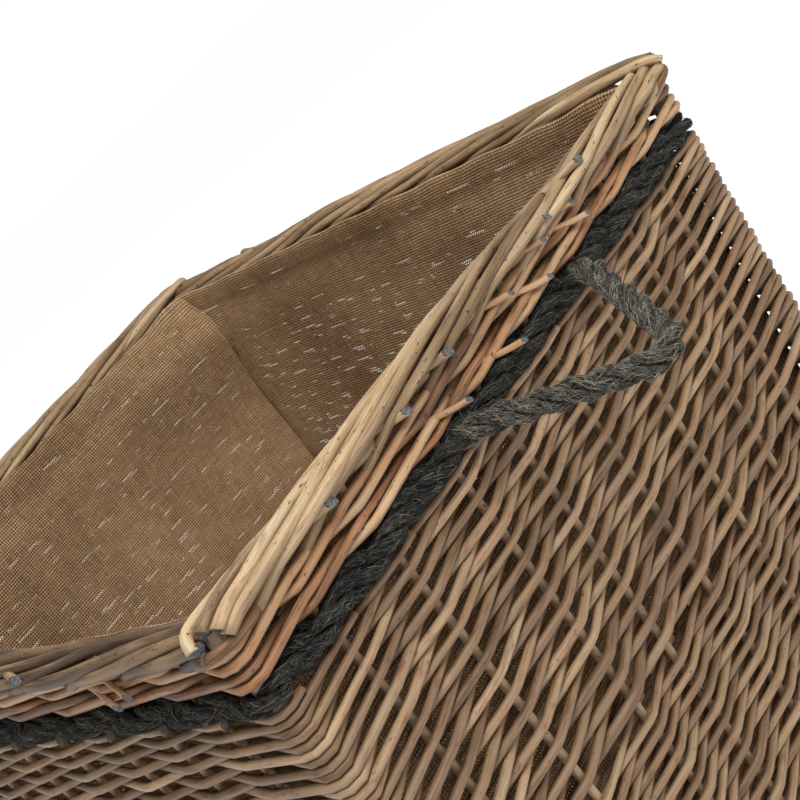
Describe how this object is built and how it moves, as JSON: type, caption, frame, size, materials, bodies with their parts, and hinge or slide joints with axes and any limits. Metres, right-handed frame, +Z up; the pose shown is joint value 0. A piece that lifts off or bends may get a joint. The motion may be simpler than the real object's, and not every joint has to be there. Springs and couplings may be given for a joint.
{
  "type": "wicker storage basket",
  "caption": "Rectangular woven willow storage basket with a rolled border, a band of dark rope, two rope loop handles and a hessian lining.",
  "frame": {"origin": "middle of the footprint, on the ground", "axes": "+X out of one handle end, +Y out of a long side, +Z up"},
  "size_m": [0.7552, 0.527, 0.46],
  "materials": {
    "buff_willow": "buff willow rods, dry satin, pith and bark specks",
    "pale_willow": "pale straw willow rods, satin",
    "red_willow": "orange brown willow rods, satin",
    "grey_willow": "thick weathered willow sticks, dull",
    "charcoal_rope": "charcoal dyed three strand jute, hairy, matt",
    "brown_hessian": "open plain weave brown hessian, matt"
  },
  "bodies": {
    "basket": {"border": "pale_willow", "top_wale": "red_willow", "rope_band": "charcoal_rope", "upper_rand": "buff_willow", "lower_rand": "buff_willow", "foot_wale": "buff_willow", "base_weave": "buff_willow", "lining": "brown_hessian", "base_stick_1": "grey_willow", "base_stick_2": "grey_willow", "base_stick_3": "grey_willow", "base_stick_4": "grey_willow", "base_stick_5": "grey_willow", "base_stick_6": "grey_willow", "base_stick_7": "grey_willow", "corner_post_back_right": "grey_willow", "corner_post_back_left": "grey_willow", "corner_post_front_left": "grey_willow", "corner_post_front_right": "grey_willow", "stake_right_1": "buff_willow", "stake_right_2": "buff_willow", "stake_right_3": "buff_willow", "stake_right_4": "buff_willow", "stake_right_5": "buff_willow", "stake_right_6": "buff_willow", "stake_right_7": "buff_willow", "stake_right_8": "buff_willow", "stake_left_1": "buff_willow", "stake_left_2": "buff_willow", "stake_left_3": "buff_willow", "stake_left_4": "buff_willow", "stake_left_5": "buff_willow", "stake_left_6": "buff_willow", "stake_left_7": "buff_willow", "stake_left_8": "buff_willow", "stake_back_1": "buff_willow", "stake_back_2": "buff_willow", "stake_back_3": "buff_willow", "stake_back_4": "buff_willow", "stake_back_5": "buff_willow", "stake_back_6": "buff_willow", "stake_back_7": "buff_willow", "stake_back_8": "buff_willow", "stake_back_9": "buff_willow", "stake_front_1": "buff_willow", "stake_front_2": "buff_willow", "stake_front_3": "buff_willow", "stake_front_4": "buff_willow", "stake_front_5": "buff_willow", "stake_front_6": "buff_willow", "stake_front_7": "buff_willow", "stake_front_8": "buff_willow", "stake_front_9": "buff_willow"},
    "rope_loop_right": {"handle_right": "charcoal_rope"},
    "rope_loop_left": {"handle_left": "charcoal_rope"}
  },
  "joints": [
    {"name": "handle_right_swing", "type": "hinge", "parent": "basket", "child": "rope_loop_right", "pos_m": [0.29759, 0.011, 0.40575], "axis": [0, -1, 0], "range_deg": [-60, 95]},
    {"name": "handle_left_swing", "type": "hinge", "parent": "basket", "child": "rope_loop_left", "pos_m": [-0.29759, -0.011, 0.40575], "axis": [0, 1, 0], "range_deg": [-60, 95]}
  ]
}
